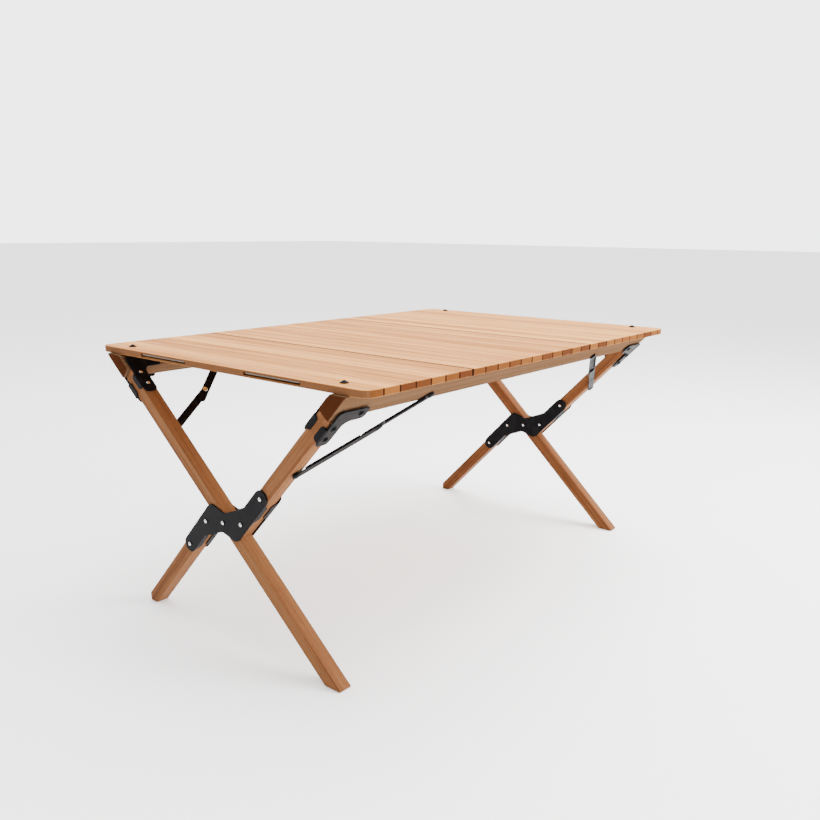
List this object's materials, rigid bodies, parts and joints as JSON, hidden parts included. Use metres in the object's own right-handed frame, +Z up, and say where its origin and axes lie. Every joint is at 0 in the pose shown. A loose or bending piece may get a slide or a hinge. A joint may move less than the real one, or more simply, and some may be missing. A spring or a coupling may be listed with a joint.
{
  "type": "folding side table",
  "caption": "Low folding camp table: roll-up beech slat top held by knobs on a crossed-leg wooden frame with black pivot plates, corner plates and folding stays.",
  "frame": {"origin": "on the floor under the middle of the table top", "axes": "+X along the long side of the top, +Y along the slats towards the back rail, +Z up"},
  "size_m": [0.913, 0.6, 0.4542],
  "materials": {
    "top_beech": "oiled light beech, satin",
    "frame_beech": "oiled reddish beech, satin",
    "black_metal": "satin black powder coat",
    "knob_black": "matte black",
    "rivet_steel": "bright domed rivet heads",
    "belt_webbing": "woven elastic belt"
  },
  "bodies": {
    "frame_back": {"rail_back": "frame_beech", "long_leg_left": "frame_beech", "long_leg_right": "frame_beech", "corner_plate_outer_back_left": "black_metal", "corner_plate_outer_back_right": "black_metal", "corner_plate_inner_back_left": "black_metal", "corner_plate_inner_back_right": "black_metal", "stay_leg_link_back_left": "black_metal", "stay_leg_link_back_right": "black_metal", "stay_rail_link_back_left": "black_metal", "stay_rail_link_back_right": "black_metal"},
    "frame_front": {"rail_front": "frame_beech", "upper_half_leg_left": "frame_beech", "upper_half_leg_right": "frame_beech", "lower_half_leg_left": "frame_beech", "lower_half_leg_right": "frame_beech", "pivot_plate_outer_left": "black_metal", "pivot_plate_outer_right": "black_metal", "pivot_plate_inner_left": "black_metal", "pivot_plate_inner_right": "black_metal", "corner_plate_outer_front_left": "black_metal", "corner_plate_outer_front_right": "black_metal", "corner_plate_inner_front_left": "black_metal", "corner_plate_inner_front_right": "black_metal", "stay_leg_link_front_left": "black_metal", "stay_leg_link_front_right": "black_metal", "stay_rail_link_front_left": "black_metal", "stay_rail_link_front_right": "black_metal"},
    "top_base": {"slat_28": "top_beech", "knob_front_right": "knob_black", "knob_back_right": "knob_black"},
    "top_slat_27": {"slat_27": "top_beech"},
    "top_slat_26": {"slat_26": "top_beech"},
    "top_slat_25": {"slat_25": "top_beech"},
    "top_slat_24": {"slat_24": "top_beech"},
    "top_slat_23": {"slat_23": "top_beech"},
    "top_slat_22": {"slat_22": "top_beech"},
    "top_slat_21": {"slat_21": "top_beech"},
    "top_slat_20": {"slat_20": "top_beech"},
    "top_slat_19": {"slat_19": "top_beech"},
    "top_slat_18": {"slat_18": "top_beech"},
    "top_slat_17": {"slat_17": "top_beech"},
    "top_slat_16": {"slat_16": "top_beech"},
    "top_slat_15": {"slat_15": "top_beech"},
    "top_slat_14": {"slat_14": "top_beech"},
    "top_slat_13": {"slat_13": "top_beech"},
    "top_slat_12": {"slat_12": "top_beech"},
    "top_slat_11": {"slat_11": "top_beech"},
    "top_slat_10": {"slat_10": "top_beech"},
    "top_slat_09": {"slat_09": "top_beech"},
    "top_slat_08": {"slat_08": "top_beech"},
    "top_slat_07": {"slat_07": "top_beech"},
    "top_slat_06": {"slat_06": "top_beech"},
    "top_slat_05": {"slat_05": "top_beech"},
    "top_slat_04": {"slat_04": "top_beech"},
    "top_slat_03": {"slat_03": "top_beech"},
    "top_slat_02": {"slat_02": "top_beech"},
    "top_slat_01": {"slat_01": "top_beech", "knob_front_left": "knob_black", "knob_back_left": "knob_black"}
  },
  "joints": [
    {"name": "leg_cross", "type": "hinge", "parent": "frame_back", "child": "frame_front", "pos_m": [0, 0, 0.2068], "axis": [-1, 0, 0], "range_deg": [0, 87.5]},
    {"name": "top_lift", "type": "slide", "parent": "frame_back", "child": "top_base", "axis": [0, 0, 1], "range_m": [0, 0.56]},
    {"name": "top_roll", "type": "hinge", "parent": "top_base", "child": "top_slat_27", "pos_m": [0.41786, 0, 0.45], "axis": [0, 1, 0], "range_deg": [0, 23.3]},
    {"name": "slat_hinge_26_27", "type": "hinge", "parent": "top_slat_27", "child": "top_slat_26", "pos_m": [0.38571, 0, 0.45], "axis": [0, 1, 0], "range_deg": [0, 24.1]},
    {"name": "slat_hinge_25_26", "type": "hinge", "parent": "top_slat_26", "child": "top_slat_25", "pos_m": [0.35357, 0, 0.45], "axis": [0, 1, 0], "range_deg": [0, 24.5]},
    {"name": "slat_hinge_24_25", "type": "hinge", "parent": "top_slat_25", "child": "top_slat_24", "pos_m": [0.32143, 0, 0.45], "axis": [0, 1, 0], "range_deg": [0, 24.8]},
    {"name": "slat_hinge_23_24", "type": "hinge", "parent": "top_slat_24", "child": "top_slat_23", "pos_m": [0.28929, 0, 0.45], "axis": [0, 1, 0], "range_deg": [0, 25.2]},
    {"name": "slat_hinge_22_23", "type": "hinge", "parent": "top_slat_23", "child": "top_slat_22", "pos_m": [0.25714, 0, 0.45], "axis": [0, 1, 0], "range_deg": [0, 25.6]},
    {"name": "slat_hinge_21_22", "type": "hinge", "parent": "top_slat_22", "child": "top_slat_21", "pos_m": [0.225, 0, 0.45], "axis": [0, 1, 0], "range_deg": [0, 26]},
    {"name": "slat_hinge_20_21", "type": "hinge", "parent": "top_slat_21", "child": "top_slat_20", "pos_m": [0.19286, 0, 0.45], "axis": [0, 1, 0], "range_deg": [0, 26.5]},
    {"name": "slat_hinge_19_20", "type": "hinge", "parent": "top_slat_20", "child": "top_slat_19", "pos_m": [0.16071, 0, 0.45], "axis": [0, 1, 0], "range_deg": [0, 26.9]},
    {"name": "slat_hinge_18_19", "type": "hinge", "parent": "top_slat_19", "child": "top_slat_18", "pos_m": [0.12857, 0, 0.45], "axis": [0, 1, 0], "range_deg": [0, 27.4]},
    {"name": "slat_hinge_17_18", "type": "hinge", "parent": "top_slat_18", "child": "top_slat_17", "pos_m": [0.09643, 0, 0.45], "axis": [0, 1, 0], "range_deg": [0, 27.9]},
    {"name": "slat_hinge_16_17", "type": "hinge", "parent": "top_slat_17", "child": "top_slat_16", "pos_m": [0.06429, 0, 0.45], "axis": [0, 1, 0], "range_deg": [0, 28.5]},
    {"name": "slat_hinge_15_16", "type": "hinge", "parent": "top_slat_16", "child": "top_slat_15", "pos_m": [0.03214, 0, 0.45], "axis": [0, 1, 0], "range_deg": [0, 29.1]},
    {"name": "slat_hinge_14_15", "type": "hinge", "parent": "top_slat_15", "child": "top_slat_14", "pos_m": [0, 0, 0.45], "axis": [0, 1, 0], "range_deg": [0, 29.7]},
    {"name": "slat_hinge_13_14", "type": "hinge", "parent": "top_slat_14", "child": "top_slat_13", "pos_m": [-0.03214, 0, 0.45], "axis": [0, 1, 0], "range_deg": [0, 30.4]},
    {"name": "slat_hinge_12_13", "type": "hinge", "parent": "top_slat_13", "child": "top_slat_12", "pos_m": [-0.06429, 0, 0.45], "axis": [0, 1, 0], "range_deg": [0, 31.1]},
    {"name": "slat_hinge_11_12", "type": "hinge", "parent": "top_slat_12", "child": "top_slat_11", "pos_m": [-0.09643, 0, 0.45], "axis": [0, 1, 0], "range_deg": [0, 31.9]},
    {"name": "slat_hinge_10_11", "type": "hinge", "parent": "top_slat_11", "child": "top_slat_10", "pos_m": [-0.12857, 0, 0.45], "axis": [0, 1, 0], "range_deg": [0, 32.7]},
    {"name": "slat_hinge_09_10", "type": "hinge", "parent": "top_slat_10", "child": "top_slat_09", "pos_m": [-0.16071, 0, 0.45], "axis": [0, 1, 0], "range_deg": [0, 33.6]},
    {"name": "slat_hinge_08_09", "type": "hinge", "parent": "top_slat_09", "child": "top_slat_08", "pos_m": [-0.19286, 0, 0.45], "axis": [0, 1, 0], "range_deg": [0, 34.6]},
    {"name": "slat_hinge_07_08", "type": "hinge", "parent": "top_slat_08", "child": "top_slat_07", "pos_m": [-0.225, 0, 0.45], "axis": [0, 1, 0], "range_deg": [0, 35.7]},
    {"name": "slat_hinge_06_07", "type": "hinge", "parent": "top_slat_07", "child": "top_slat_06", "pos_m": [-0.25714, 0, 0.45], "axis": [0, 1, 0], "range_deg": [0, 36.8]},
    {"name": "slat_hinge_05_06", "type": "hinge", "parent": "top_slat_06", "child": "top_slat_05", "pos_m": [-0.28929, 0, 0.45], "axis": [0, 1, 0], "range_deg": [0, 38.2]},
    {"name": "slat_hinge_04_05", "type": "hinge", "parent": "top_slat_05", "child": "top_slat_04", "pos_m": [-0.32143, 0, 0.45], "axis": [0, 1, 0], "range_deg": [0, 39.6]},
    {"name": "slat_hinge_03_04", "type": "hinge", "parent": "top_slat_04", "child": "top_slat_03", "pos_m": [-0.35357, 0, 0.45], "axis": [0, 1, 0], "range_deg": [0, 41.3]},
    {"name": "slat_hinge_02_03", "type": "hinge", "parent": "top_slat_03", "child": "top_slat_02", "pos_m": [-0.38571, 0, 0.45], "axis": [0, 1, 0], "range_deg": [0, 43.2]},
    {"name": "slat_hinge_01_02", "type": "hinge", "parent": "top_slat_02", "child": "top_slat_01", "pos_m": [-0.41786, 0, 0.45], "axis": [0, 1, 0], "range_deg": [0, 45.4]}
  ],
  "couplings": [
    {"joint": "top_lift", "follows": "leg_cross", "m_per_rad": 0.36},
    {"joint": "slat_hinge_26_27", "follows": "top_roll", "ratio": 1.0129},
    {"joint": "slat_hinge_25_26", "follows": "top_roll", "ratio": 1.03},
    {"joint": "slat_hinge_24_25", "follows": "top_roll", "ratio": 1.0429},
    {"joint": "slat_hinge_23_24", "follows": "top_roll", "ratio": 1.0601},
    {"joint": "slat_hinge_22_23", "follows": "top_roll", "ratio": 1.0773},
    {"joint": "slat_hinge_21_22", "follows": "top_roll", "ratio": 1.0944},
    {"joint": "slat_hinge_20_21", "follows": "top_roll", "ratio": 1.1159},
    {"joint": "slat_hinge_19_20", "follows": "top_roll", "ratio": 1.133},
    {"joint": "slat_hinge_18_19", "follows": "top_roll", "ratio": 1.1545},
    {"joint": "slat_hinge_17_18", "follows": "top_roll", "ratio": 1.176},
    {"joint": "slat_hinge_16_17", "follows": "top_roll", "ratio": 1.2017},
    {"joint": "slat_hinge_15_16", "follows": "top_roll", "ratio": 1.2275},
    {"joint": "slat_hinge_14_15", "follows": "top_roll", "ratio": 1.2532},
    {"joint": "slat_hinge_13_14", "follows": "top_roll", "ratio": 1.2833},
    {"joint": "slat_hinge_12_13", "follows": "top_roll", "ratio": 1.3133},
    {"joint": "slat_hinge_11_12", "follows": "top_roll", "ratio": 1.3476},
    {"joint": "slat_hinge_10_11", "follows": "top_roll", "ratio": 1.382},
    {"joint": "slat_hinge_09_10", "follows": "top_roll", "ratio": 1.4206},
    {"joint": "slat_hinge_08_09", "follows": "top_roll", "ratio": 1.4635},
    {"joint": "slat_hinge_07_08", "follows": "top_roll", "ratio": 1.5107},
    {"joint": "slat_hinge_06_07", "follows": "top_roll", "ratio": 1.5579},
    {"joint": "slat_hinge_05_06", "follows": "top_roll", "ratio": 1.618},
    {"joint": "slat_hinge_04_05", "follows": "top_roll", "ratio": 1.6781},
    {"joint": "slat_hinge_03_04", "follows": "top_roll", "ratio": 1.7511},
    {"joint": "slat_hinge_02_03", "follows": "top_roll", "ratio": 1.8326},
    {"joint": "slat_hinge_01_02", "follows": "top_roll", "ratio": 1.927}
  ]
}
